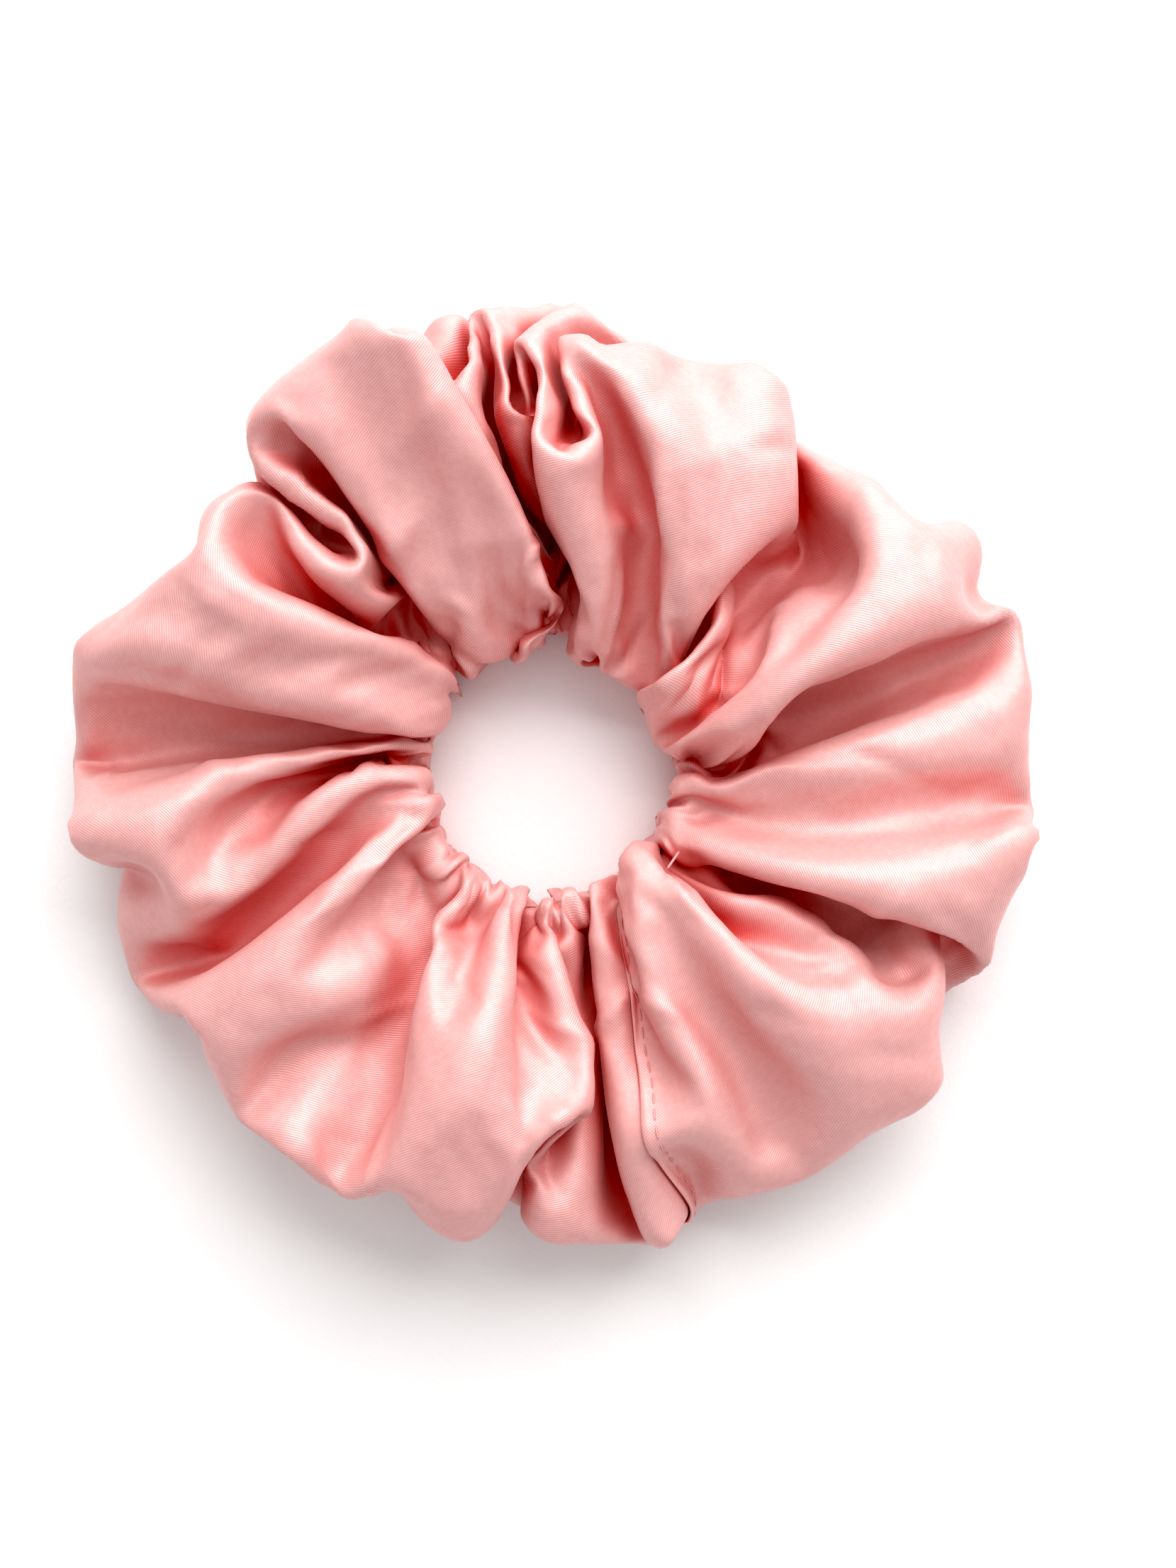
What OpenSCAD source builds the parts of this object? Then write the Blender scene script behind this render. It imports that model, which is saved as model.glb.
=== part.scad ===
// Satin scrunchie: a sewn tube of satin gathered into puffs round a ring of flat elastic.
// It lies flat on z = 0, with the hair opening along +Z, and all sizes are in millimetres.

/* [Ring] */
// Diameter of the hair opening at rest
hole_d = 38; // [30:1:60]
// Air left between neighbouring puffs of the cover
puff_gap = 0.8; // [0.6:0.1:1.2]
// Air at the closing seam, which holds the topstitch
seam_gap = 1.6; // [1.4:0.1:2.4]

/* [Cover] */
// How far a puff reaches out from the hair opening
puff_l = 52; // [40:1:64]
// Thickness of the gathered satin wall
cloth_t = 0.6; // [0.4:0.1:0.9]
// Depth of the long seam's allowance inside the tube
allowance_w = 6; // [4:0.5:8]
// Thickness of one ply of the allowance
ply_t = 0.5; // [0.3:0.1:0.8]
// Length of the tube's end tucked into its other end at the closing seam
tuck_l = 8; // [5:1:12]

/* [Elastic] */
// Width of the flat elastic, which stands on edge in the casing
band_w = 6; // [4:0.5:8]
// Thickness of the elastic
band_t = 1; // [0.6:0.1:1.4]
// Length of the overlap where the elastic's ends are sewn together
overlap_l = 10; // [8:1:14]

/* [Thread] */
// Diameter of the sewing thread
thread_d = 0.5; // [0.3:0.1:0.5]
// Stitches across the elastic's overlap, in two rows
overlap_stitches = 5; // [3:1:7]

/* [Fit] */
// Clearance between pieces that lie inside one another
play = 0.4; // [0.3:0.05:0.6]

/* [Hidden] */
$fn = 48;
EPS = 0.01;

// One row for each puff, anticlockwise from the closing seam: the angle of the gather where the puff
// starts, and the angle at which it rises from the casing.
GATHERS = [
    [308, 10], [332, 12], [355, 14], [380, 12], [408, 11], [446, 14], [476, 20],
    [507, 14], [538, 12], [557, 18], [588, 8], [622, 14], [643, 17]
];
FULL_TURN = 360;
N = len(GATHERS);

SATIN = [0.87, 0.50, 0.50];
SATIN_INSIDE = [0.80, 0.45, 0.46];
ELASTIC = [0.95, 0.94, 0.91];
THREAD = [0.88, 0.56, 0.56];

hole_r = hole_d / 2;

// Radii, from the hair opening outwards: casing wall, tucked end, elastic and its overlap, allowance
sleeve_r = hole_r + cloth_t + play;
inner_r = sleeve_r + ply_t + play;
band_r = inner_r;
overlap_r = band_r + band_t + play / 2;
allowance_r = inner_r;
contents_r = max(allowance_r + allowance_w, overlap_r + band_t);
sleeve_out_r = contents_r + play + ply_t;
casing_out_r = sleeve_out_r + play + cloth_t;

// Heights, from the surface it lies on upwards: wall, tucked end, allowance, thread, elastic
sleeve_z = cloth_t + play;
allowance_z = sleeve_z + ply_t + play;
allowance_top = allowance_z + 2 * ply_t;
thread_z = allowance_top + play / 2 + thread_d / 2;
band_z = thread_z + thread_d / 2 + play;
contents_top = band_z + band_w;
sleeve_top = contents_top + play + ply_t;
casing_h = sleeve_top + play + cloth_t;

// A puff grows from this radius at the casing to a round end that fills its share of the ring
puff_root_r = casing_h / 2 - cloth_t;
// How much wider than its share a puff is before its neighbours flatten its sides
PUFF_FULLNESS = 1.12;
END_STEPS = 10;
WEDGE_REACH = 2 * (hole_r + puff_l);

function gather_angle(k) = k < N ? GATHERS[k][0] : GATHERS[k - N][0] + FULL_TURN;
function half_width(k) = (gather_angle(k + 1) - gather_angle(k)) / 2;
function mid_angle(k) = (gather_angle(k + 1) + gather_angle(k)) / 2;
function rise(k) = GATHERS[k][1];
// Radius of the round end that touches both sides of the puff's share of the ring
function end_r(k) =
    let (reach = hole_r + puff_l * cos(rise(k)), s = sin(half_width(k)))
    PUFF_FULLNESS * reach * s / (1 + cos(rise(k)) * s);
// Furthest that a puff reaches along the direction with this angle
function reach_along(k, angle) =
    let (end_at = hole_r + (puff_l - end_r(k)) * cos(rise(k)))
    end_at * cos(mid_angle(k) - angle) + end_r(k);
function ring_reach(angle) = max([for (k = [0:N - 1]) reach_along(k, angle)]);

// The middle of the outline is put on the origin
centre_x = (ring_reach(180) - ring_reach(0)) / 2;
centre_y = (ring_reach(270) - ring_reach(90)) / 2;

module placed() {
    translate([centre_x, centre_y, 0]) children();
}

// Share of the ring between two gathers, with a parallel margin left along both
module wedge(k, margin_before, margin_after) {
    before = gather_angle(k);
    after = gather_angle(k + 1);
    intersection() {
        rotate([0, 0, before]) translate([0, margin_before, -EPS])
            cube([WEDGE_REACH, WEDGE_REACH, WEDGE_REACH]);
        rotate([0, 0, after]) translate([0, -margin_after - WEDGE_REACH, -EPS])
            cube([WEDGE_REACH, WEDGE_REACH, WEDGE_REACH]);
    }
}

function margin_before(k) = (k == 0 ? seam_gap : puff_gap) / 2;
function margin_after(k) = (k == N - 1 ? seam_gap : puff_gap) / 2;

// Half outline of a puff along its own axis, drawn inside the full one by an inset
function puff_outline(k, inset) =
    let (
        r_end = end_r(k) - inset,
        end_at = puff_l - end_r(k),
        lean = asin(min(0.9, (end_r(k) - puff_root_r) / end_at)),
        root_r = puff_root_r - inset
    )
    concat(
        [[0, 0], [root_r, 0]],
        [for (i = [0:END_STEPS])
            let (a = -lean + (90 + lean) * i / END_STEPS)
            [i == END_STEPS ? 0 : r_end * cos(a), end_at + r_end * sin(a)]]
    );

module puff_bag(k, inset) {
    rotate([0, 0, mid_angle(k)]) translate([hole_r, 0, casing_h / 2])
        rotate([0, 90 - rise(k), 0]) rotate_extrude() polygon(puff_outline(k, inset));
}

module ring(r_in, r_out, z_low, z_high) {
    translate([0, 0, z_low]) rotate_extrude()
        translate([r_in, 0]) square([r_out - r_in, z_high - z_low]);
}

module arc_piece(r_in, r_out, z_low, z_high, from, sweep) {
    rotate([0, 0, from]) translate([0, 0, z_low]) rotate_extrude(angle = sweep)
        translate([r_in, 0]) square([r_out - r_in, z_high - z_low]);
}

// One puff of the cover: a hollow bag on its stretch of the casing that holds the elastic
module cover_puff(k) {
    color(SATIN) placed() difference() {
        intersection() {
            union() {
                ring(hole_r - EPS, casing_out_r, 0, casing_h);
                puff_bag(k, 0);
            }
            wedge(k, margin_before(k), margin_after(k));
        }
        intersection() {
            puff_bag(k, cloth_t);
            wedge(k, margin_before(k) + cloth_t, margin_after(k) + cloth_t);
            translate([-WEDGE_REACH, -WEDGE_REACH, cloth_t])
                cube([2 * WEDGE_REACH, 2 * WEDGE_REACH, WEDGE_REACH]);
            ring(hole_r + cloth_t, WEDGE_REACH, 0, WEDGE_REACH);
        }
        ring(hole_r + cloth_t, casing_out_r - cloth_t, cloth_t, casing_h - cloth_t);
        translate([0, 0, -EPS]) cylinder(r = hole_r, h = WEDGE_REACH);
    }
}

// Angle that an arc of this length takes at this radius
function arc_angle(length, r) = length / r * 180 / PI;

// The tube's last end, folded in and pushed inside its first end
module tucked_end() {
    sweep = arc_angle(tuck_l, hole_r);
    from = gather_angle(0);
    color(SATIN_INSIDE) placed() difference() {
        arc_piece(sleeve_r, sleeve_out_r, sleeve_z, sleeve_top, from, sweep);
        ring(inner_r - play, contents_r + play, sleeve_z + ply_t, sleeve_top - ply_t);
    }
}

// Topstitch that closes the cover, one loop of thread round the tucked end
module closing_seam_thread() {
    slack = play / 2;
    loop_w = sleeve_out_r - sleeve_r + 2 * slack;
    loop_h = sleeve_top - sleeve_z + 2 * slack;
    color(THREAD) placed() rotate([0, 0, gather_angle(0)])
        translate([sleeve_r - slack, 0, sleeve_z - slack]) difference() {
            translate([-thread_d, -thread_d / 2, -thread_d])
                cube([loop_w + 2 * thread_d, thread_d, loop_h + 2 * thread_d]);
            translate([0, -thread_d, 0]) cube([loop_w, 2 * thread_d, loop_h]);
        }
}

// Both raw edges of the long seam, lying flat inside the tube
module long_seam_allowance() {
    color(SATIN_INSIDE) placed()
        ring(allowance_r, allowance_r + allowance_w, allowance_z, allowance_top);
}

module long_seam_thread() {
    color(THREAD) placed() translate([0, 0, thread_z])
        rotate_extrude() translate([allowance_r + thread_d, 0]) circle(d = thread_d);
}

module elastic_band() {
    color(ELASTIC) placed() ring(band_r, band_r + band_t, band_z, band_z + band_w);
}

// Middle of the elastic's overlap, set well inside the first puff
function overlap_mid() = mid_angle(0);

module elastic_overlap() {
    sweep = arc_angle(overlap_l, overlap_r);
    color(ELASTIC) placed() arc_piece(
        overlap_r, overlap_r + band_t, band_z, band_z + band_w, overlap_mid() - sweep / 2, sweep
    );
}

// Bars of thread over the overlap's outer face, in two rows
module elastic_join_stitches() {
    row_w = band_w / 3;
    bar_r = overlap_r + band_t + play / 2;
    step = arc_angle(overlap_l, overlap_r) / (overlap_stitches + 1);
    color(THREAD) placed() for (i = [1:overlap_stitches], row = [1, 2]) {
        turn = overlap_mid() + step * (i - (overlap_stitches + 1) / 2);
        rotate([0, 0, turn]) translate([bar_r + thread_d / 2, 0, band_z + row * row_w])
            translate([0, 0, -row_w / 3]) cylinder(d = thread_d, h = row_w * 2 / 3);
    }
}

cover_puff(0);  // cover_puff_01
cover_puff(1);  // cover_puff_02
cover_puff(2);  // cover_puff_03
cover_puff(3);  // cover_puff_04
cover_puff(4);  // cover_puff_05
cover_puff(5);  // cover_puff_06
cover_puff(6);  // cover_puff_07
cover_puff(7);  // cover_puff_08
cover_puff(8);  // cover_puff_09
cover_puff(9);  // cover_puff_10
cover_puff(10);  // cover_puff_11
cover_puff(11);  // cover_puff_12
cover_puff(12);  // cover_puff_13
tucked_end();
closing_seam_thread();
long_seam_allowance();
long_seam_thread();
elastic_band();
elastic_overlap();
elastic_join_stitches();
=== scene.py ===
# %% [markdown]
# # A satin scrunchie
#
# A scrunchie is three things: a rectangle of satin sewn into a long tube, a short ring of flat elastic
# inside it, and thread. The tube is about five times as long as the opening's edge, so the elastic gathers
# it into puffs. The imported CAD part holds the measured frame: thirteen puffs on a chain of slides, the
# elastic, the seam allowance and the thread. This lesson builds what the eye sees round that frame, and lets
# a cloth simulation do the gathering, because folds that are drawn by hand never look like satin.

import math

import bpy
import numpy as np
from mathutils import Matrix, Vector


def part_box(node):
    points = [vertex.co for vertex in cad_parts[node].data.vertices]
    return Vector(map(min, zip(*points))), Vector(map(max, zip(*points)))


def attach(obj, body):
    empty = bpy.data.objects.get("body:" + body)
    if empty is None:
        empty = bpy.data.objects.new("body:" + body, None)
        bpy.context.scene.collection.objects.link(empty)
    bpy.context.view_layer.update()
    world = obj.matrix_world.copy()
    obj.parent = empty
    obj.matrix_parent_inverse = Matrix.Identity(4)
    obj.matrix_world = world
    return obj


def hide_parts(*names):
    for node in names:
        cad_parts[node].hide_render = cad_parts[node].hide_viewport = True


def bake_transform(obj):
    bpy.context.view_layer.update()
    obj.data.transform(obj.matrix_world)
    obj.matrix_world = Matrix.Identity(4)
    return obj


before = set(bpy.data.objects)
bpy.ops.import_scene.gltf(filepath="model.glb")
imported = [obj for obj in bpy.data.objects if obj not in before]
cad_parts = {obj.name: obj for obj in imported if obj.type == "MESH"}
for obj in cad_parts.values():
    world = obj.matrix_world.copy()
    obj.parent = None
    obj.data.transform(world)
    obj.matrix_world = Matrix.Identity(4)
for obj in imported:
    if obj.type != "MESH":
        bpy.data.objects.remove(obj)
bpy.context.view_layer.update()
MM = 0.001

# %% [markdown]
# ## Measures
#
# Every place comes from the CAD part: the middle of the ring is the middle of the elastic's box, and the
# casing's floor and top come from the seam allowance and the elastic. The cloth's own sizes are those of the
# flat tube before it is gathered: 610 mm long and 124 mm round.

# %% Ring and tube
elastic_low, elastic_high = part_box("elastic_band")
RING_CENTRE = (elastic_low + elastic_high) / 2
ELASTIC_OUT = (elastic_high.x - elastic_low.x) / 2
ELASTIC_IN = ELASTIC_OUT - 1 * MM
CASING_R = ELASTIC_IN - 1.7 * MM
allowance_low, allowance_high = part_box("long_seam_allowance")
ALLOWANCE_OUT = (allowance_high.x - allowance_low.x) / 2
RING_MID_Z = (allowance_low.z + elastic_high.z) / 2
TUBE_L = 610 * MM
TUBE_ROUND = 124 * MM
# The angles of the thirteen gathers where the CAD part's bodies meet, in degrees, and the seam again
GATHERS = [308, 332, 355, 380, 408, 446, 476, 507, 538, 557, 588, 622, 643, 668]
print("ring centre", [round(c / MM, 2) for c in RING_CENTRE], "casing radius", round(CASING_R / MM, 2))

# %% [markdown]
# ## How the cloth is arranged
#
# Shaken out and laid down, a scrunchie settles into its own pattern of puffs. Here the pattern is planned
# like a pleated skirt. Each rib is a line of cloth from the hair opening to the rim. It has its angle at
# the opening, then its angle, radius and height half-way out, then the same at the rim. Ribs that stand
# high half-way are ridges, low ones are valleys, many ribs at one angle of the opening make a deep tuck,
# and ribs that are well apart make a smooth puff. The cloth from one rib to the next is what it takes to
# span the wider of their two gaps, shared out so that it comes to the whole tube.

# %% Ribs
# (angle at the opening; half-way: angle, radius, height; rim: angle, radius, height), degrees and mm
RIBS = [
    (308, 288, 45, 13, 288, 68, 10), (314, 299, 45, 21, 300, 71, 14), (319, 313, 44, 25, 310, 70, 14),
    (322, 325, 47, 16, 322, 71, 14), (325, 333, 46, 9, 336, 63, 6), (326, 340, 40, 24, 341, 68, 16),
    (346, 351, 45, 21, 354, 72, 13), (367, 371, 43, 25, 368, 71, 16), (373, 379, 42, 17, 381, 67, 10),
    (375, 389, 44, 25, 394, 63, 17), (376, 402, 43, 15, 408, 60, 12), (377, 414, 45, 8, 421, 61, 6),
    (380, 411, 44, 25, 425, 63, 20), (408, 423, 42, 25, 435, 60, 20), (436, 434, 40, 25, 443, 60, 20),
    (439, 438, 33, 13, 446, 58, 13), (444, 446, 40, 22, 448, 60, 10), (449, 457, 42, 9, 446, 60, 5),
    (449, 457, 42, 18, 451, 61, 16), (450, 460, 44, 8, 456, 61, 8), (450, 462, 43, 19, 459, 63, 20),
    (451, 463, 43, 5, 463, 57, 5), (452, 462, 42, 28, 466, 71, 31), (478, 473, 42, 26, 474, 72, 29),
    (497, 484, 40, 21, 484, 66, 23), (502, 490, 38, 14, 491, 58, 14), (506, 498, 37, 7, 498, 50, 5),
    (508, 504, 42, 24, 508, 58, 20), (514, 517, 44, 23, 518, 64, 15), (522, 528, 44, 22, 527, 71, 17),
    (530, 533, 37, 11, 536, 70, 12), (539, 539, 38, 22, 545, 69, 16), (542, 552, 44, 13, 552, 67, 10),
    (546, 560, 44, 18, 559, 66, 14), (552, 567, 46, 14, 565, 65, 9), (560, 575, 43, 23, 572, 66, 14),
    (578, 585, 44, 23, 584, 67, 14), (602, 603, 44, 24, 604, 68, 16), (627, 623, 40, 26, 621, 68, 18),
    (631, 630, 42, 10, 627, 66, 6), (641, 636, 44, 20, 632, 71, 16), (652, 640, 44, 13, 638, 69, 9),
    (660, 645, 42, 23, 644, 71, 15),
]
# The first rib once more, a full turn further, closes the plan
FULL_TURN = np.array([360, 360, 0, 0, 360, 0, 0])
ribs = np.vstack([RIBS, np.array(RIBS[0]) + FULL_TURN]).astype(float)


def polar(radius, angle, z):
    return np.stack([radius * np.cos(angle), radius * np.sin(angle), z], -1)


def rib_points(column):
    """The ribs' points half-way (1) or at the rim (4), in mm."""
    return polar(ribs[:, column + 1], np.radians(ribs[:, column]), ribs[:, column + 2])


gaps = [np.linalg.norm(np.diff(rib_points(c), axis=0), axis=1) for c in (1, 4)]
rib_u = np.concatenate([[0], np.cumsum(np.maximum(*gaps))])
print("ribs:", len(RIBS), "cloth they ask for:", round(rib_u[-1]), "mm of", round(TUBE_L / MM))
# Share of the tube's length at which each rib lies
rib_u /= rib_u[-1]


def at_ribs(u, column):
    """A column of the ribs' plan, read at these shares of the tube's length."""
    return np.interp(u, rib_u, ribs[:, column])


# %% [markdown]
# ## The flat tube
#
# Cloth doesn't stretch much, so a simulation needs to know how long each thread is when it lies flat. The
# tube is a grid: `u` runs along it and `v` round it, with `v = 0` at the hair opening and the upper half
# first. The rest shape is the tube pressed flat into a wide ring, which has the true size of every square.
# Blender's cloth works best on things about a metre across, so all of this happens ten times bigger.

# %% Grid helpers
S = 10.0


def grid_uv(nu, nv):
    return np.meshgrid(np.arange(nu) / nu, np.arange(nv) / nv, indexing="ij")


def grid_faces(nu, nv):
    """Quads of a grid that closes on itself both ways."""
    i, j = np.meshgrid(np.arange(nu), np.arange(nv), indexing="ij")
    i2, j2 = (i + 1) % nu, (j + 1) % nv
    return np.stack([i * nv + j, i2 * nv + j, i2 * nv + j2, i * nv + j2], -1).reshape(-1, 4)


def flat_tube(nu, nv, length, around):
    """The tube pressed flat into a wide ring, at its true lengths."""
    U, V = grid_uv(nu, nv)
    z = np.where(V < 0.25, V * around, np.where(V < 0.75, (0.5 - V) * around, (V - 1) * around))
    inside = (V < 0.25) | (V > 0.75)
    r = length / math.tau + np.where(inside, -0.002, 0.002)
    return polar(r, math.tau * U, z)


# %% [markdown]
# ## One run of cloth
#
# Both stages of the gathering use the same helper. It makes the grid a Cloth object with the flat tube as
# its rest shape, lets a shape key draw the held points to their places, and lets the cloth fall over a floor
# and round a ring that stands for the elastic and the seam allowance. Points held with a weight of 1 go
# exactly where the key takes them, and lighter ones are only pulled.

# %% Cloth run
def add_object(name, verts, faces):
    me = bpy.data.meshes.new(name)
    me.from_pydata(np.asarray(verts, float).reshape(-1, 3).tolist(), [], [[int(i) for i in f] for f in faces])
    me.update()
    ob = bpy.data.objects.new(name, me)
    bpy.context.scene.collection.objects.link(ob)
    return ob


def move_key(ob, coords, last):
    """A shape key that takes the object to these coords by a frame."""
    key = ob.shape_key_add(name="gather")
    key.data.foreach_set("co", np.asarray(coords, np.float32).ravel())
    key.value = 0
    key.keyframe_insert("value", frame=1)
    key.value = 1
    key.keyframe_insert("value", frame=last)


def collider(ob, thickness, friction=5):
    ob.modifiers.new("Collision", "COLLISION")
    ob.collision.thickness_outer = thickness
    ob.collision.cloth_friction = friction


def run_cloth(start, held, weight, frames, gather_end, bend, mass, air, gap, quality, ring=None):
    nu, nv, _ = start.shape
    ob = add_object("cloth_run", start, grid_faces(nu, nv))
    ob.shape_key_add(name="Basis")
    rest = ob.shape_key_add(name="rest")
    rest.data.foreach_set("co", flat_tube(nu, nv, TUBE_L * S, TUBE_ROUND * S).astype(np.float32).ravel())
    if held is not None:
        move_key(ob, held, gather_end)
    group = ob.vertex_groups.new(name="held")
    weight = weight.ravel()
    for i in np.flatnonzero(weight > 0):
        group.add([int(i)], float(weight[i]), "REPLACE")
    cloth = ob.modifiers.new("Cloth", "CLOTH")
    s, c = cloth.settings, cloth.collision_settings
    s.quality = quality
    s.mass = mass
    s.tension_stiffness = s.compression_stiffness = 25
    s.shear_stiffness = 8
    s.bending_stiffness = bend
    s.tension_damping = s.compression_damping = s.shear_damping = 5
    s.bending_damping = 0.5
    s.air_damping = air
    s.vertex_group_mass = "held"
    s.pin_stiffness = 8
    s.rest_shape_key = rest
    s.effector_weights.gravity = 0.3
    c.collision_quality = 3 if ring else 2
    c.distance_min = 0.005
    c.use_self_collision = True
    c.self_distance_min = gap
    c.self_friction = 5
    cloth.point_cache.frame_start, cloth.point_cache.frame_end = 1, frames
    floor = add_object("run_floor", [(-3, -3, 0), (3, -3, 0), (3, 3, 0), (-3, 3, 0)], [(0, 1, 2, 3)])
    collider(floor, 0.005)
    helpers = [ob, floor]
    if ring:
        hoop = add_object("run_ring", ring[0], ring[2])
        hoop.shape_key_add(name="Basis")
        move_key(hoop, ring[1], gather_end)
        collider(hoop, 0.005, 2)
        helpers.append(hoop)
    scene = bpy.context.scene
    scene.frame_start, scene.frame_end = 1, frames
    for f in range(1, frames + 1):
        scene.frame_set(f)
    done = ob.evaluated_get(bpy.context.evaluated_depsgraph_get()).to_mesh()
    co = np.zeros(len(done.vertices) * 3, np.float32)
    done.vertices.foreach_get("co", co)
    for h in helpers:
        me = h.data
        bpy.data.objects.remove(h)
        bpy.data.meshes.remove(me)
    scene.frame_set(1)
    return co.reshape(nu, nv, 3).astype(float)


# %% [markdown]
# ## First run: gathering
#
# The tube starts as an even ring of its full length and shrinks on to the elastic. Where the plan is
# smooth the cloth is held against the casing, as the long seam and the elastic hold it, and in the tucks it
# is free to fold as it likes. The rim is only led, softly, rib by rib. The held ring inside is an L, with
# the elastic standing up and the seam allowance lying flat.

# %% Gathering the tube
def gather_start(nu, nv):
    """An even, slightly rumpled ring of the whole tube."""
    U, V = grid_uv(nu, nv)
    rng = np.random.default_rng(SEED)
    a = TUBE_ROUND * S / math.tau
    phi = math.tau * V
    r = TUBE_L * S / math.tau - a * np.cos(phi)
    z = a * np.sin(phi) + a + 0.02
    rumple = np.zeros_like(U)
    for waves in rng.integers(9, 40, size=16):
        size, turn, tilt, lean = rng.normal(), rng.uniform(0, 6.28), rng.integers(0, 3), rng.uniform(0, 6.28)
        rumple += 0.03 * size * np.cos(math.tau * waves * U + turn) * np.cos(phi * tilt + lean)
    return polar(r, math.radians(ribs[0, 0]) + math.tau * U, z + rumple * a)


def casing_profile(s, upper):
    """Radius and height of the held cloth, a distance s round the casing from the opening's middle."""
    wall = CASING_WALL * S
    out = np.maximum(s - wall, 0)
    rise = np.minimum(s, wall) + 0.3 * out
    mid = RING_MID_Z * S
    z = np.where(upper, mid + rise, np.maximum(mid - rise, 0.008))
    return CASING_R * S + 0.92 * out, z


def gather_plan(nu, nv, start):
    """Where the held points go, and how hard they are held."""
    U, V = grid_uv(nu, nv)
    around = TUBE_ROUND * S
    s = np.minimum(V, 1 - V) * around
    opening = np.radians(at_ribs(U, 0))
    r_in, z_in = casing_profile(s, V < 0.5)
    near = np.clip(1 - s / (HELD_SPAN * around), 0, 1)
    along = np.gradient(opening[:, 0]) * CASING_R * nu / TUBE_L
    smooth = (along > SMOOTH_SHARE)[:, None]
    plans = [(near**0.5 * np.where(smooth, 1, TUCK_HOLD), polar(r_in, opening, z_in))]
    near_rib = np.abs(U[:, :1] - rib_u[None, :]).min(1) * TUBE_L * S
    led = np.clip(1 - near_rib / (RIB_WIDTH * S), 0, 1)[:, None]
    reach = np.abs(V - 0.5) * around
    rim_z = at_ribs(U, 6) * MM * S + (0.5 - V) * around
    rim = polar(at_ribs(U, 5) * MM * S, np.radians(at_ribs(U, 4)), rim_z)
    plans.append((RIM_LEAD * np.clip(1 - reach / (RIM_SPAN * around), 0, 1) * led, rim))
    r_half, z_half = at_ribs(U, 2) * MM * S, at_ribs(U, 3) * MM * S
    out = np.hypot(r_half - CASING_R * S, z_half - elastic_high.z * S) + 4.9 * MM * S
    off = V * around - out
    half = polar(r_half + off * 0.8, np.radians(at_ribs(U, 1)), z_half)
    plans.append((MID_LEAD * np.clip(1 - np.abs(off) / (MID_SPAN * around), 0, 1) * led, half))
    held, weight = start.copy(), np.zeros_like(U)
    for w, target in plans:
        stronger = (w > weight)[..., None]
        held = np.where(stronger, target, held)
        weight = np.maximum(weight, w)
    return held, weight


def inner_ring(count=96):
    """The elastic and the allowance as one ring that shrinks, with its start, end and faces."""
    e_in, e_out = ELASTIC_IN - 0.5 * MM, ELASTIC_OUT + 0.9 * MM
    low, high, step = allowance_low.z - 0.4 * MM, elastic_high.z + 0.4 * MM, allowance_high.z + 0.7 * MM
    a_out = ALLOWANCE_OUT + 0.3 * MM
    profile = np.array([(e_in, low), (a_out, low), (a_out, step), (e_out, step), (e_out, high), (e_in, high)])
    profile = np.concatenate([profile[i] + (profile[(i + 1) % 6] - profile[i]) * np.array([[0], [0.5]])
                              for i in range(6)]) * S
    n = len(profile)
    angle = math.tau * np.arange(count)[:, None] / count
    end = polar(profile[None, :, 0], angle, np.broadcast_to(profile[None, :, 1], (count, n)))
    a = TUBE_ROUND * S / math.tau
    grow = TUBE_L * S / math.tau - a + 0.03 - e_in * S
    lift = a + 0.02 - RING_MID_Z * S
    start = polar(profile[None, :, 0] + grow, angle, np.broadcast_to(profile[None, :, 1] + lift, (count, n)))
    return start, end, grid_faces(count, n)


SEED = 5
RIM_LEAD = 0.8
MID_LEAD = 0.65
TUCK_HOLD = 0.15
# Shares of the way round the tube over which the holds fade out
HELD_SPAN = 0.05
RIM_SPAN = 0.06
MID_SPAN = 0.04
CASING_WALL = 4.4 * MM
RIB_WIDTH = 0.004
# A stretch of the opening is smooth where its cloth is gathered less than about seven to one
SMOOTH_SHARE = 0.14
COARSE = (200, 40)
start = gather_start(*COARSE)
held, weight = gather_plan(*COARSE, start)
gathered = run_cloth(start, held, weight, 60, 36, bend=60, mass=0.2, air=2, gap=0.008, quality=6,
                     ring=inner_ring())
rim = np.hypot(gathered[..., 0], gathered[..., 1]) / S / MM
print("after gathering: radius", round(rim.min(), 1), "to", round(rim.max(), 1), "mm, height",
      round(gathered[..., 2].max() / S / MM, 1), "mm")

# %% [markdown]
# ## Second run: fine wrinkles
#
# A coarse grid can't hold small folds. The gathered shape is read on a grid twice as fine each way and let
# go again for a moment with softer bending, so that the tucks break into the small wrinkles that satin
# makes. The line along the opening stays where the elastic holds it, and the rim is only steadied. A deep
# tuck can still slip off the elastic, so such columns are laid back round its edge afterwards.

# %% Finer grid
def cubic_read(grid, at, axis, weights):
    """Reads a closed grid between its rows, with four-point weights for the shares `at`."""
    n = grid.shape[axis]
    t = np.asarray(at) * n
    i = np.floor(t).astype(int)
    w = weights(t - i)
    shape = [1] * grid.ndim
    shape[axis] = len(t)
    return sum(np.take(grid, (i + k - 1) % n, axis=axis) * w[k].reshape(shape) for k in range(4))


def through_points(x):
    """Catmull-Rom weights: the curve goes through the points."""
    return [-x / 2 + x * x - x**3 / 2, 1 - 2.5 * x * x + 1.5 * x**3, x / 2 + 2 * x * x - 1.5 * x**3,
            (x**3 - x * x) / 2]


def smooth_points(x):
    """B-spline weights: the curve is smoother than the points."""
    return [(1 - x) ** 3 / 6, (3 * x**3 - 6 * x * x + 4) / 6, (-3 * x**3 + 3 * x * x + 3 * x + 1) / 6,
            x**3 / 6]


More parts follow.
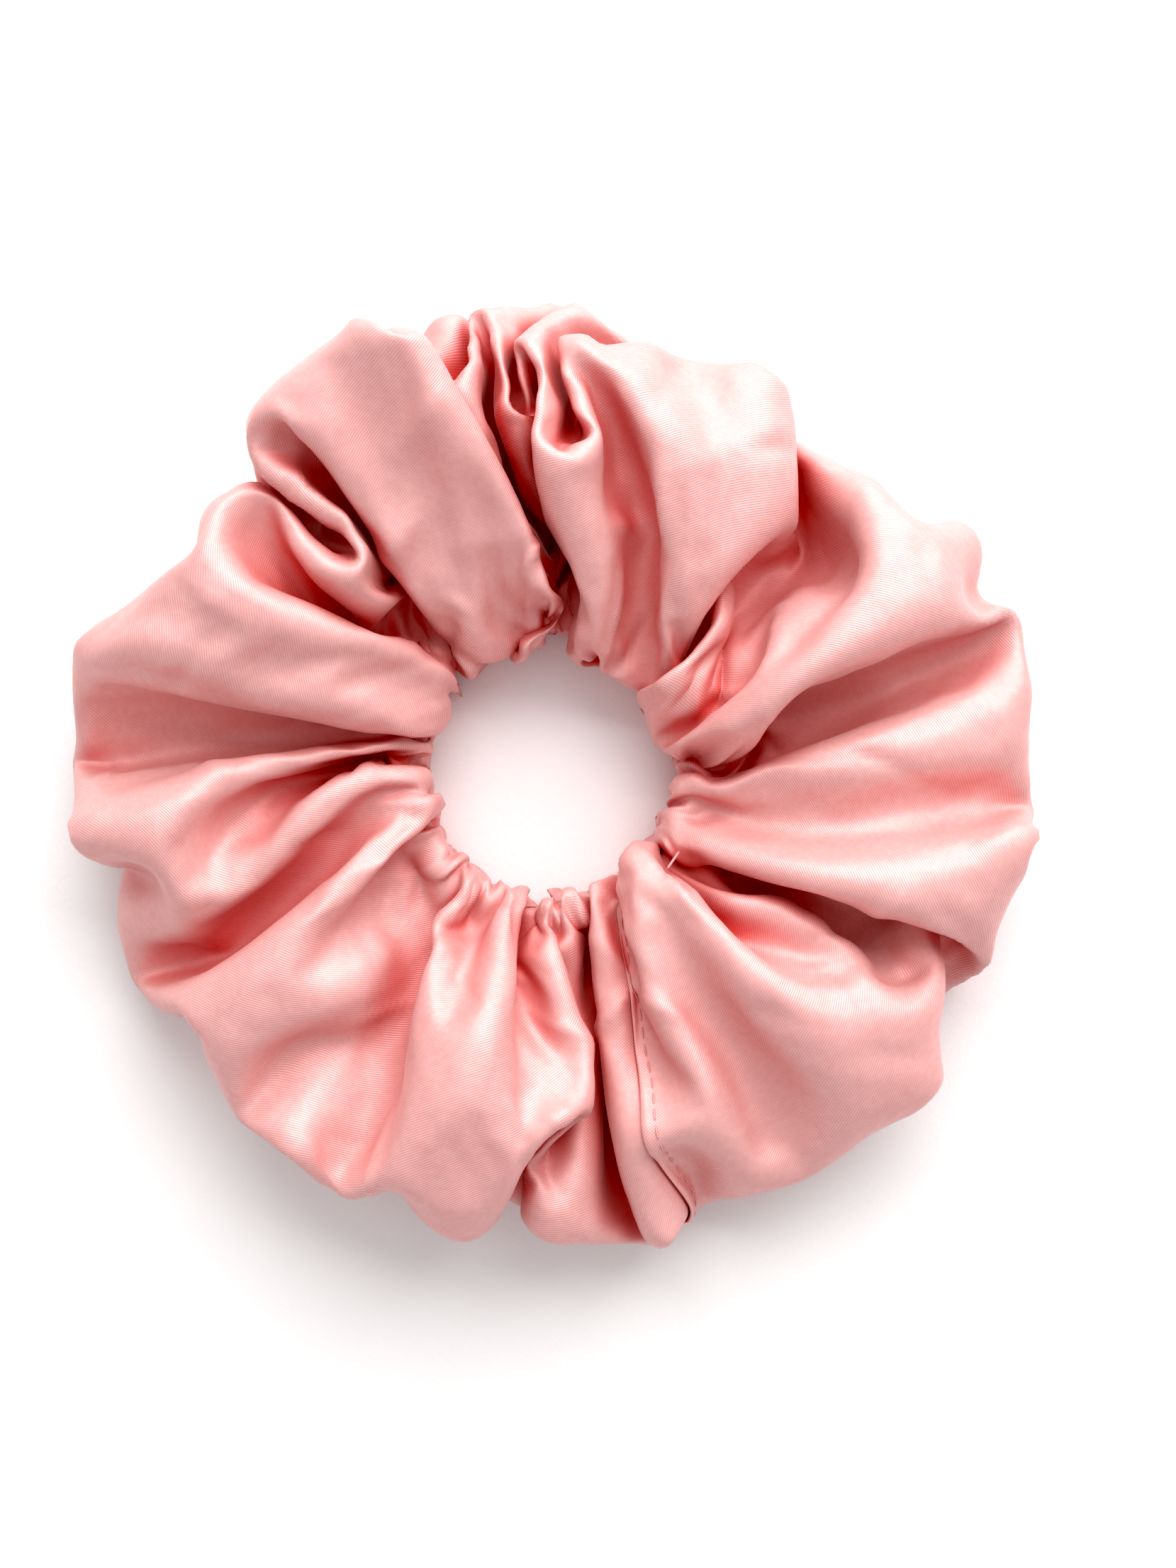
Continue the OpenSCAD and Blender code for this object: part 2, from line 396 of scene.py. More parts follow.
def refine(grid, times):
    nu, nv, _ = grid.shape
    fine = cubic_read(grid, np.arange(nu * times) / (nu * times), 0, through_points)
    fine = cubic_read(fine, np.arange(nv * times) / (nv * times), 1, through_points)
    fine[..., 2] = np.maximum(fine[..., 2], 0.006)
    _, V = grid_uv(nu * times, nv * times)
    s = np.minimum(V, 1 - V) * TUBE_ROUND * S
    rim = np.abs(V - 0.5) < 0.06
    weight = np.where(s < 2.5 * MM * S, 1.0, np.where(rim, 0.5, 0.0))
    _, ring_end, ring_faces = inner_ring()
    return run_cloth(fine, None, weight, 12, 1, bend=FINE_BEND, mass=0.05, air=3, gap=0.006, quality=5,
                     ring=(ring_end, ring_end, ring_faces))


def wrap_elastic(grid):
    """Where a deep tuck has pulled the cloth off the elastic, lays it back round the elastic's edge."""
    inner = ELASTIC_IN - WRAP_GAP
    half = elastic_high.z + WRAP_GAP - RING_MID_Z
    _, V = grid_uv(*grid.shape[:2])
    upper = V < 0.5
    s = np.minimum(V, 1 - V) * TUBE_ROUND
    over = np.where(upper, ELASTIC_OUT, ALLOWANCE_OUT) + WRAP_GAP - inner
    radius = np.maximum(np.hypot(grid[..., 0], grid[..., 1]), 1e-6)
    wall_r = inner + np.clip(s - half, 0, over)
    wall_z = RING_MID_Z + np.where(upper, 1, -1) * np.minimum(s, half)
    loose = np.where(s < half, radius - inner, 0).max(axis=1)
    share = np.clip(loose / WRAP_FADE, 0, 1)
    share = np.maximum(share, (np.roll(share, 1) + np.roll(share, -1)) / 2)[:, None]
    for side in (upper, ~upper):
        columns = np.flatnonzero(side[0])
        columns = columns[np.argsort(s[0, columns])]
        wrapped = columns[s[0, columns] <= half + over[0, columns]]
        last = wrapped[-1]
        shift_r = (wall_r - radius)[:, last]
        shift_z = (wall_z - grid[..., 2])[:, last]
        for j in columns:
            if j in wrapped:
                move_r, move_z = (wall_r - radius)[:, j], wall_z[:, j] - grid[:, j, 2]
            else:
                fade = max(0.0, 1 - (s[0, j] - s[0, last]) / WRAP_REACH) ** 2
                move_r, move_z = shift_r * fade, shift_z * fade
            grid[:, j, :2] *= (1 + share[:, 0] * move_r / radius[:, j])[:, None]
            grid[:, j, 2] += share[:, 0] * move_z
    print("wrap:", int((share > 0).sum()), "of", len(share), "columns laid back round the elastic")


FINE_BEND = 3.0
# Air between the cloth and the elastic, how loose a column is when it is wrapped in full, and how far round
# the tube the move fades out
WRAP_GAP = 0.4 * MM
WRAP_FADE = 0.6 * MM
WRAP_REACH = 8 * MM
cover = refine(gathered, 2)
cover = cover / S
wrap_elastic(cover)
print("cover grid:", cover.shape[:2], "height", round(cover[..., 2].max() / MM, 1), "mm")

# %% [markdown]
# ## Creases
#
# Satin keeps the marks of every fold it has been in. Each crease is a short straight line on the flat cloth
# with a tent-shaped ridge or valley across it, mostly under a millimetre high. They are scattered at
# random and added up, and the cloth is moved along its own normal by the sum.

# %% Crease field
def crease_field(u, v):
    """Height of the creases at these places on the flat cloth, in metres."""
    rng = np.random.default_rng(21)
    x, y = np.meshgrid(u * TUBE_L, v * TUBE_ROUND, indexing="ij")
    high = np.zeros_like(x)
    for _ in range(CREASES):
        cx, cy = rng.uniform(0, TUBE_L), rng.uniform(0, TUBE_ROUND)
        turn = rng.normal(math.pi / 2, 0.7)
        half = rng.uniform(4, 15) * MM
        width = rng.uniform(1.6, 5) * MM
        size = rng.normal(0, CREASE_H)
        dx = (x - cx + TUBE_L / 2) % TUBE_L - TUBE_L / 2
        dy = (y - cy + TUBE_ROUND / 2) % TUBE_ROUND - TUBE_ROUND / 2
        along = dx * math.cos(turn) + dy * math.sin(turn)
        across = -dx * math.sin(turn) + dy * math.cos(turn)
        tent = np.clip(1 - np.sqrt(across**2 + (0.25 * MM) ** 2) / width, 0, 1) ** 1.5
        high += size * tent * np.clip(1 - (along / half) ** 2, 0, 1)
    return high


CREASES = 520
CREASE_H = 0.7 * MM


def cloth_at(u, v, lift=0.0):
    """Points of the cover at these shares of its length and round, lifted along the normal."""
    p = cubic_read(cubic_read(cover, u % 1, 0, smooth_points), v % 1, 1, smooth_points)
    e = 0.4 * MM
    pu = cubic_read(cubic_read(cover, (u + e / TUBE_L) % 1, 0, smooth_points), v % 1, 1, smooth_points) - p
    pv = cubic_read(cubic_read(cover, u % 1, 0, smooth_points), (v + e / TUBE_ROUND) % 1, 1,
                    smooth_points) - p
    n = np.cross(pv, pu)
    n /= np.maximum(np.linalg.norm(n, axis=-1, keepdims=True), 1e-12)
    return p + n * (crease_field(u % 1, v % 1) + lift)[..., None]


# %% [markdown]
# ## Thirteen puffs
#
# The cover is one cloth, but the ring stretches between every pair of gathers, so it is cut where the
# gathers are. Neighbours share the same line of points and the same normals, and no join shows.
#
# At the closing seam the tube's first end is folded in on itself and its last end is pushed inside, so the
# first puff starts with a rolled edge that stands a cloth's thickness proud. The stitching holds the two
# layers together.

# %% Cutting the cover
CELL = 0.95 * MM
cuts = np.interp(GATHERS, ribs[:, 0] + np.arange(len(ribs)) * 1e-6, rib_u)
cuts[-1] = 1.0
ROUND = int(TUBE_ROUND / CELL)
v_line = np.arange(ROUND + 1) / ROUND
shift = Vector((RING_CENTRE.x, RING_CENTRE.y, 0))


def open_faces(nu, nv, flip=False):
    i, j = np.meshgrid(np.arange(nu - 1), np.arange(nv - 1), indexing="ij")
    a, b, c, d = i * nv + j, i * nv + j + 1, (i + 1) * nv + j + 1, (i + 1) * nv + j
    quads = np.stack([a, b, c, d], -1).reshape(-1, 4)
    return quads[:, ::-1] if flip else quads


def grid_normals(p):
    """Normals of an open grid, closed round the tube."""
    du = np.gradient(p, axis=0)
    wrapped = np.concatenate([p[:, -2:-1], p, p[:, 1:2]], 1)
    dv = (wrapped[:, 2:] - wrapped[:, :-2]) / 2
    n = np.cross(dv, du)
    return n / np.maximum(np.linalg.norm(n, axis=-1, keepdims=True), 1e-12)


def blend_by_column(ob):
    """Bakes the piece's placement into its points."""
    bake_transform(ob)


def puff_columns(k):
    """Shares of the tube's length for one puff's columns, and how far each is lifted."""
    n = max(3, round((cuts[k + 1] - cuts[k]) * TUBE_L / CELL))
    u = np.linspace(cuts[k], cuts[k + 1], n + 1)
    lift = SEAM_STEP * np.clip(1 - u * TUBE_L / (7 * MM), 0, 1) ** 2 if k == 0 else np.zeros(n + 1)
    if k == 0:
        edge = np.array([6, 4, 2, 0.7, 0, -0.25, -0.3, -0.15, 0.25, 0.6]) * MM / TUBE_L
        edge_lift = SEAM_STEP + np.array([-1.0, -0.85, -0.67, -0.53, -0.5, -0.4, -0.2, -0.02, 0, 0]) * MM
        keep = u > 0.9 * MM / TUBE_L
        u, lift = np.concatenate([edge, u[keep]]), np.concatenate([edge_lift, lift[keep]])
    if k == 12:
        rows = np.arange(1, round(TUCK_L / MM) + 1)
        tuck = rows * MM / TUBE_L
        sink = -0.65 * MM * np.clip(rows / 1.5, 0, 1)
        u, lift = np.concatenate([u, 1 + tuck]), np.concatenate([lift, sink])
    return u, lift


SEAM_STEP = 0.75 * MM
TUCK_L = 8 * MM
satin_pieces = []
for k in range(13):
    u, lift = puff_columns(k)
    before, after = u[0] - (u[1] - u[0]), u[-1] + (u[-1] - u[-2])
    wide_u = np.concatenate([[before], u, [after]])
    wide_lift = np.concatenate([[lift[0]], lift, [lift[-1]]])
    points = cloth_at(wide_u, v_line, np.repeat(wide_lift[:, None], ROUND + 1, 1))
    points[..., :2] += np.array(shift[:2])
    points[..., 2] = np.maximum(points[..., 2], 0.15 * MM)
    normals = grid_normals(points)[1:-1, :-1]
    points = points[1:-1, :-1]
    nu, nv = points.shape[:2]
    faces = open_faces(nu, nv + 1)
    faces = (faces // (nv + 1)) * nv + (faces % (nv + 1)) % nv
    ob = add_object(f"satin_puff_{k + 1:02d}", points, faces)
    me = ob.data
    me.polygons.foreach_set("use_smooth", np.ones(len(me.polygons), bool))
    uv = me.uv_layers.new(name="cloth")
    loops = np.zeros(len(me.loops), np.int32)
    me.loops.foreach_get("vertex_index", loops)
    uu = (u[loops // nv]) * TUBE_L
    vv = (loops % nv) / nv * TUBE_ROUND
    first = loops.reshape(-1, 4) % nv
    wraps = (first.max(1) - first.min(1) > nv / 2)[:, None] & (first == 0)
    vv = vv.reshape(-1, 4) + np.where(wraps, TUBE_ROUND, 0)
    uv.data.foreach_set("uv", np.stack([uu, vv.ravel()], -1).astype(np.float32).ravel())
    me.normals_split_custom_set_from_vertices(normals.reshape(-1, 3).tolist())
    blend_by_column(ob)
    nodes = [f"cover_puff_{k + 1:02d}"] + (["tucked_end"] if k == 12 else [])
    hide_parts(*nodes)
    satin_pieces.append((ob, (cuts[k + 1] - cuts[k]) * TUBE_L))
print("satin:", sum(len(o.data.vertices) for o, _ in satin_pieces), "points in", len(satin_pieces), "puffs")

# %% [markdown]
# ## The elastic, the allowance and their threads
#
# Inside the casing lie the flat elastic, standing on edge, and the two raw edges of the long seam with its
# line of thread. They stretch with the ring, so each is cut into the same thirteen lengths as the cover
# round it. The elastic's ribs are real ridges, one for each braided cord.

# %% Strips round the ring
def strip_piece(name, k, profile_at, count, node):
    """One length of a strip that runs round the ring, between two gathers."""
    angles = np.linspace(GATHERS[k], GATHERS[k + 1], count + 1)
    rows = np.array([profile_at(a) for a in angles])
    turn = np.radians(angles)[:, None]
    points = polar(rows[..., 0], turn, rows[..., 1]) + np.array([RING_CENTRE.x, RING_CENTRE.y, 0])
    n = rows.shape[1]
    faces = open_faces(count + 1, n + 1, flip=True)
    faces = (faces // (n + 1)) * n + (faces % (n + 1)) % n
    ob = add_object(name, points, faces)
    ob.data.polygons.foreach_set("use_smooth", np.ones(len(ob.data.polygons), bool))
    uv = ob.data.uv_layers.new(name="cloth")
    loops = np.zeros(len(ob.data.loops), np.int32)
    ob.data.loops.foreach_get("vertex_index", loops)
    along = np.radians(angles[loops // n]) * CASING_R
    girth = np.concatenate([[0], np.cumsum(np.hypot(*np.diff(rows[0], axis=0).T))])
    uv.data.foreach_set("uv", np.stack([along, girth[loops % n]], -1).astype(np.float32).ravel())
    blend_by_column(ob)
    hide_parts(node)
    return ob


def rounded_box(r_in, r_out, low, high, cords, depth):
    """Cross-section of a strip, with its long sides ridged into cords."""
    steps = cords * 4
    z = np.linspace(low, high, steps + 1)
    ridge = depth * np.abs(np.sin(math.pi * cords * (z - low) / (high - low)))
    edge = 0.25 * (r_out - r_in)
    inset = edge * np.array([1] + [0] * (steps - 1) + [1])
    outer = np.stack([r_out - depth + ridge - inset, z], -1)
    inner = np.stack([r_in + depth - ridge + inset, z], -1)[::-1]
    return np.concatenate([outer, inner])


CORDS = 8
CORD_DEPTH = 0.1 * MM
elastic_profile = rounded_box(ELASTIC_IN, ELASTIC_OUT, elastic_low.z, elastic_high.z, CORDS, CORD_DEPTH)
thread_low, thread_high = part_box("long_seam_thread")
THREAD_R = (thread_high.z - thread_low.z) / 2
thread_mid = (thread_high.x - thread_low.x) / 2 - THREAD_R
thread_z = (thread_low.z + thread_high.z) / 2
STITCH = 2.5 * MM


def elastic_at(angle):
    return elastic_profile


def allowance_at(angle):
    """Two plies that ruffle a little where the elastic has gathered them."""
    ruffle = 0.25 * MM * math.sin(math.radians(angle * 31)) * math.sin(math.radians(angle * 7))
    low = allowance_low.z + 0.15 * MM
    out = np.array([0, 0.25, 0.5, 0.75, 1.0, 1.0, 0.75, 0.5, 0.25, 0])
    r = out * (ALLOWANCE_OUT - ELASTIC_IN) + ELASTIC_IN
    lift = ruffle * (r - ELASTIC_IN) / (ALLOWANCE_OUT - ELASTIC_IN)
    z = low + np.array([0] * 5 + [0.7 * MM] * 5) + lift
    return np.stack([r, z], -1)


def seam_thread_at(angle):
    """A round thread that dips into the cloth at the end of every stitch."""
    dip = 0.35 * THREAD_R * abs(math.cos(math.pi * math.radians(angle) * thread_mid / STITCH))
    a = math.tau * np.arange(8) / 8
    r = THREAD_R * 0.8
    return np.stack([thread_mid + r * np.cos(a), thread_z - dip + r * np.sin(a)], -1)


inside_pieces = {}
for k in range(13):
    span = GATHERS[k + 1] - GATHERS[k]
    inside_pieces[k] = [
        strip_piece(f"elastic_length_{k + 1:02d}", k, elastic_at, max(6, round(span / 1.5)),
                    "elastic_band"),
        strip_piece(f"seam_allowance_{k + 1:02d}", k, allowance_at, max(8, round(span)),
                    "long_seam_allowance"),
        strip_piece(f"long_seam_stitches_{k + 1:02d}", k, seam_thread_at, max(12, round(span * 1.5)),
                    "long_seam_thread"),
    ]
print("strips:", sum(len(p) for p in inside_pieces.values()))

# %% [markdown]
# ## Where the elastic is joined
#
# The elastic's two ends lie over each other for a centimetre, and two rows of thread hold them. The second
# layer and its stitches lie in the middle of the first puff.

# %% The overlap and its stitches
overlap_mid = math.radians((GATHERS[0] + GATHERS[1]) / 2)
overlap_r = ELASTIC_OUT + 0.2 * MM
overlap_half = 5 * MM / overlap_r
layer_out = overlap_r + 1 * MM
layer_profile = rounded_box(overlap_r, layer_out, elastic_low.z, elastic_high.z, CORDS, CORD_DEPTH)


def sector_piece(name, angles, rows):
    """A closed strip between two angles, with both ends capped."""
    points = polar(rows[..., 0], angles[:, None], rows[..., 1]) + np.array([RING_CENTRE.x, RING_CENTRE.y, 0])
    count, n = rows.shape[:2]
    faces = open_faces(count, n + 1, flip=True)
    faces = ((faces // (n + 1)) * n + (faces % (n + 1)) % n).tolist()
    faces += [list(range(n)), [(count - 1) * n + i for i in reversed(range(n))]]
    return add_object(name, points, faces)


layer_angles = overlap_mid + np.linspace(-overlap_half, overlap_half, 13)
layer = sector_piece("elastic_second_layer", layer_angles, np.repeat(layer_profile[None], 13, 0))
layer.data.polygons.foreach_set("use_smooth", np.ones(len(layer.data.polygons), bool))


def half_way(ob):
    """Bakes the object's placement into its points."""
    blend_by_column(ob)


def thread_tube(name, paths, radius, sides=8):
    """Round threads along several lines of points, with rounded ends, as one mesh."""
    verts, faces = [], []
    for path in paths:
        path = np.asarray(path, float)
        tangent = np.gradient(path, axis=0)
        tangent /= np.linalg.norm(tangent, axis=1, keepdims=True)
        side = np.cross(tangent, [0.13, 0.21, 0.97])
        side /= np.linalg.norm(side, axis=1, keepdims=True)
        up = np.cross(tangent, side)
        size = np.full(len(path), radius)
        size[[0, -1]] *= 0.45
        base = len(verts)
        for p, a, b, r in zip(path, side, up, size):
            for i in range(sides):
                t = math.tau * i / sides
                verts.append(p + r * (math.cos(t) * a + math.sin(t) * b))
        n = len(path)
        for i in range(n - 1):
            for j in range(sides):
                j2 = (j + 1) % sides
                faces.append([base + i * sides + j, base + i * sides + j2, base + (i + 1) * sides + j2,
                              base + (i + 1) * sides + j])
        faces.append([base + j for j in reversed(range(sides))])
        faces.append([base + (n - 1) * sides + j for j in range(sides)])
    ob = add_object(name, verts, faces)
    ob.data.polygons.foreach_set("use_smooth", np.ones(len(ob.data.polygons), bool))
    return ob


def join_stitches():
    """Two rows of short upright stitches across the overlap."""
    bar_r = layer_out + 0.25 * MM
    width = elastic_high.z - elastic_low.z
    paths = []
    for i in range(-2, 3):
        a = overlap_mid + i * overlap_half / 3
        for row in (1, 2):
            z = elastic_low.z + row * width / 3
            t = np.linspace(-1, 1, 9)
            r = bar_r - 0.22 * MM * t**4
            lean = a + 0.1 * MM / bar_r * t
            paths.append(polar(r, lean, z + t * width / 10) + np.array([RING_CENTRE.x, RING_CENTRE.y, 0]))
    return thread_tube("elastic_join_thread", paths, 0.2 * MM)


join = join_stitches()
for ob, node, slot_name in ((layer, "elastic_overlap", "elastic"), (join, "elastic_join_stitches", "thread")):
    half_way(ob)
    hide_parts(node)
print("overlap at", round(math.degrees(overlap_mid)), "degrees")

# %% [markdown]
# ## Threads that show
#
# Two threads can be seen from outside. One is the topstitch that closes the cover: short stitches a
# little way in from the folded edge. The other is a single bare stitch of the long seam, which bridges the
# tuck beside the closing seam because the cloth has pulled away from it there.

# %% Topstitch and bare stitch
def topstitch():
    """A run of small stitches round the tube, beside the closing seam's edge."""
    at = 1.6 * MM / TUBE_L
    stitches = int(TUBE_ROUND / STITCH)
    paths = []
    for i in range(stitches):
        t = np.linspace(0.12, 0.82, 7)
        v = (i + t) / stitches
        hump = 0.10 * MM * np.sin(math.pi * (t - 0.12) / 0.7) + SEAM_STEP * 0.62
        line = cloth_at(np.array([at]), v, hump[None, :])[0]
        paths.append(line + np.array([RING_CENTRE.x, RING_CENTRE.y, 0]))
    return thread_tube("closing_topstitch", paths, 0.11 * MM, 6)


top = topstitch()
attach(top, "root")
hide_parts("closing_seam_thread")


def bare_stitch(first, last, radius):
    """A thread from one side of the tuck to the other, its ends sunk into the cloth on top there."""
    ends = []
    for angle in (first, last):
        x, y = radius * math.cos(math.radians(angle)), radius * math.sin(math.radians(angle))
        near = np.hypot(cover[..., 0] - x, cover[..., 1] - y) < 1.2 * MM
        ends.append((x + RING_CENTRE.x, y + RING_CENTRE.y, cover[..., 2][near].max() - 0.2 * MM))
    t = np.linspace(0, 1, 9)[:, None]
    line = np.array(ends[0]) * (1 - t) + np.array(ends[1]) * t
    print("bare stitch from", [round(c / MM, 1) for c in ends[0]], "to", [round(c / MM, 1) for c in ends[1]])
    return thread_tube("bare_seam_stitch", [line], 0.18 * MM, 8)


BARE_FROM, BARE_TO = 320, 328
bare = bare_stitch(BARE_FROM, BARE_TO, 22.5 * MM)
blend_by_column(bare)
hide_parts("long_seam_thread")

# %% [markdown]
# ## Finishes
#
# Satin shines because its long threads float over the others. Close to, it is a field of fine diagonal
# ribs; from further off it has broad soft highlights that run across the folds, and folds that glow a
# deeper red where the cloth lights itself. Here that red is partly real bounced light and partly painted
# shade: ambient occlusion mixes the base colour towards a dark red deep in folds. The weave group draws the
# ribs from the flat cloth's own coordinates, in metres, so they follow the grain and bend with it. The same
# group and the painted fold shade serve the wrong side, the elastic and the thread, each with its own pitch
# and angle.

# %% Node helpers
def new_group(name, inputs, outputs):
    group = bpy.data.node_groups.new(name, "ShaderNodeTree")
    for socket, kind, value in inputs:
        made = group.interface.new_socket(name=socket, in_out="INPUT", socket_type=kind)
        if value is not None:
            made.default_value = value
    for socket, kind in outputs:
        group.interface.new_socket(name=socket, in_out="OUTPUT", socket_type=kind)
    return group, group.nodes.new("NodeGroupInput"), group.nodes.new("NodeGroupOutput")


def put(tree, kind, *links, **settings):
    """A node with its settings, and its inputs linked or set in order."""
    node = tree.nodes.new(kind)
    for key, value in settings.items():
        setattr(node, key, value)
    for i, source in enumerate(links):
        if source is None:
            continue
        if isinstance(source, (int, float, tuple)):
            node.inputs[i].default_value = source
        else:
            tree.links.new(source, node.inputs[i])
    return node


def sum_of(tree, a, b, how="ADD"):
    return put(tree, "ShaderNodeMath", a, b, operation=how).outputs[0]


# %% Weave group
weave, w_in, w_out = new_group(
    "woven_ribs",
    [("Cloth", "NodeSocketVector", None), ("Pitch", "NodeSocketFloat", 0.0003),
     ("Lean", "NodeSocketFloat", 0.6), ("Slub", "NodeSocketFloat", 0.3)],
    [("Ribs", "NodeSocketFloat"), ("Slubs", "NodeSocketFloat"), ("Cloud", "NodeSocketFloat")],
)
split = put(weave, "ShaderNodeSeparateXYZ", w_in.outputs["Cloth"])
# The ribs run at a lean to the tube's length: their coordinate is x sin(lean) + y cos(lean)
sine = put(weave, "ShaderNodeMath", w_in.outputs["Lean"], operation="SINE").outputs[0]
cosine = put(weave, "ShaderNodeMath", w_in.outputs["Lean"], operation="COSINE").outputs[0]
across = sum_of(weave, sum_of(weave, split.outputs[0], sine, "MULTIPLY"),
                sum_of(weave, split.outputs[1], cosine, "MULTIPLY"))
turns = sum_of(weave, sum_of(weave, across, w_in.outputs["Pitch"], "DIVIDE"), math.tau, "MULTIPLY")
fleck = put(weave, "ShaderNodeTexNoise", w_in.outputs["Cloth"], None, 2600.0, 2.0, noise_dimensions="3D")
wander = sum_of(weave, sum_of(weave, fleck.outputs[0], w_in.outputs["Slub"], "MULTIPLY"), 6.0, "MULTIPLY")
wave = put(weave, "ShaderNodeMath", sum_of(weave, turns, wander), operation="SINE").outputs[0]
ribs_01 = put(weave, "ShaderNodeMapRange", wave, -1.0, 1.0, 0.0, 1.0).outputs[0]
weave.links.new(ribs_01, w_out.inputs["Ribs"])
slub = put(weave, "ShaderNodeTexNoise", w_in.outputs["Cloth"], None, 900.0, 3.0, noise_dimensions="3D")
weave.links.new(slub.outputs[0], w_out.inputs["Slubs"])
cloud = put(weave, "ShaderNodeTexNoise", w_in.outputs["Cloth"], None, 60.0, 3.0, noise_dimensions="3D")
weave.links.new(cloud.outputs[0], w_out.inputs["Cloud"])
print("weave group:", len(weave.nodes), "nodes")


# %% Cloth materials
def woven(name, colours, pitch, lean, rough, height, slub_amount=0.3, sheen=0.0, specular=0.5):
    """A woven finish: two colours mixed by ribs and slow clouds, a third painted as shade deep in folds by
    ambient occlusion, and a relief.
    """
    deep, pale, painted_shade_colour = colours
    material = bpy.data.materials.new(name)
    material.use_nodes = True
    tree = material.node_tree
    shader = tree.nodes["Principled BSDF"]
    place = put(tree, "ShaderNodeUVMap", uv_map="cloth")
    group = tree.nodes.new("ShaderNodeGroup")
    group.node_tree = weave
    tree.links.new(place.outputs[0], group.inputs["Cloth"])
    group.inputs["Pitch"].default_value = pitch
    group.inputs["Lean"].default_value = lean
    group.inputs["Slub"].default_value = slub_amount
    mix = put(tree, "ShaderNodeMath", group.outputs["Ribs"], 0.45, operation="MULTIPLY").outputs[0]
    mix = sum_of(tree, mix, sum_of(tree, group.outputs["Slubs"], 0.35, "MULTIPLY"))
    mix = sum_of(tree, mix, sum_of(tree, group.outputs["Cloud"], 0.30, "MULTIPLY"))
    colour = put(tree, "ShaderNodeMix", data_type="RGBA")
    tree.links.new(mix, colour.inputs[0])
    colour.inputs[6].default_value = (*deep, 1)
    colour.inputs[7].default_value = (*pale, 1)
    # Painted shade: ambient occlusion mixes the base colour towards the third, dark colour where folds close
    # the cloth in
    shade = put(tree, "ShaderNodeAmbientOcclusion", samples=8)
    shade.inputs["Distance"].default_value = PAINTED_SHADE_REACH
    open_to_light = put(tree, "ShaderNodeMapRange", shade.outputs["AO"], 0.15, 0.85, 0.0, 1.0).outputs[0]
    painted_shade_mix = put(tree, "ShaderNodeMix", data_type="RGBA")
    tree.links.new(open_to_light, painted_shade_mix.inputs[0])
    painted_shade_mix.inputs[6].default_value = (*painted_shade_colour, 1)
    tree.links.new(colour.outputs[2], painted_shade_mix.inputs[7])
    tree.links.new(painted_shade_mix.outputs[2], shader.inputs["Base Color"])
    roughness = put(tree, "ShaderNodeMapRange", mix, 0.2, 0.8, rough + 0.05, rough - 0.05)
    tree.links.new(roughness.outputs[0], shader.inputs["Roughness"])
    bump = put(tree, "ShaderNodeBump")
    bump.inputs["Strength"].default_value = 1.0
    bump.inputs["Distance"].default_value = height
    tree.links.new(sum_of(tree, group.outputs["Ribs"], group.outputs["Slubs"]), bump.inputs["Height"])
    tree.links.new(bump.outputs[0], shader.inputs["Normal"])
    shader.inputs["Specular IOR Level"].default_value = specular
    shader.inputs["Sheen Weight"].default_value = sheen
    shader.inputs["Sheen Roughness"].default_value = 0.4
    shader.inputs["Sheen Tint"].default_value = (1.0, 0.75, 0.72, 1)
    return material, shader


# Colours are given in the shade of a thread's side and on its crown, then as painted shade deep in a fold,
# mixed in by ambient occlusion
PAINTED_SHADE_REACH = 9 * MM
SATIN_COLOURS = (0.64, 0.205, 0.20), (0.88, 0.53, 0.51), (0.62, 0.045, 0.04)
WRONG_SIDE_COLOURS = (0.62, 0.20, 0.21), (0.78, 0.34, 0.34), (0.45, 0.03, 0.03)
ELASTIC_COLOURS = (0.70, 0.68, 0.62), (0.88, 0.87, 0.83), (0.5, 0.46, 0.42)
THREAD_COLOURS = (0.66, 0.24, 0.24), (0.86, 0.42, 0.42), (0.5, 0.08, 0.08)
satin, satin_shader = woven("pink_satin", SATIN_COLOURS, 0.00032, 0.62, 0.51, 0.00002, 0.25, 0.2, 0.5)
satin_shader.inputs["Metallic"].default_value = 0.25
satin_shader.inputs["Anisotropic"].default_value = 0.35
wrong_side, _ = woven("satin_wrong_side", WRONG_SIDE_COLOURS, 0.00035, 0.62, 0.75, 0.00003, 0.35, 0.2)
elastic_knit, _ = woven("braided_elastic", ELASTIC_COLOURS, 0.0007, 0.9, 0.8, 0.00006, 0.4, 0.1, 0.3)
twisted_thread, _ = woven("matching_thread", THREAD_COLOURS, 0.0003, 1.0, 0.5, 0.00003, 0.2, 0.2)

# %% [markdown]
# ## Giving every piece its finish
#
# Each piece gets its material: satin for the puffs, braided elastic for the elastic and its second layer,
# the satin's wrong side for the seam allowance, and matching thread for every thread.

# %% Finishes
for ob, length in satin_pieces:
    ob.data.materials.append(satin)
for k, (band, allowance, thread) in inside_pieces.items():
    band.data.materials.append(elastic_knit)
    allowance.data.materials.append(wrong_side)
    thread.data.materials.append(twisted_thread)
layer.data.materials.append(elastic_knit)
join.data.materials.append(twisted_thread)
top.data.materials.append(twisted_thread)
bare.data.materials.append(twisted_thread)
print("finishes:", sorted(m.name for m in bpy.data.materials if m.users))

# %% [markdown]
# ## Table, light and camera
#
# The scrunchie lies on a plain, very pale surface with a little tooth to it, and is seen from almost
# straight above. A large soft window light stands beyond it, a little to the right, so the near faces of
# the folds fall into deep colour, and an even light fills the rest. The view's black level is a touch high,
# which gives the deep folds the contrast of a bright product picture.

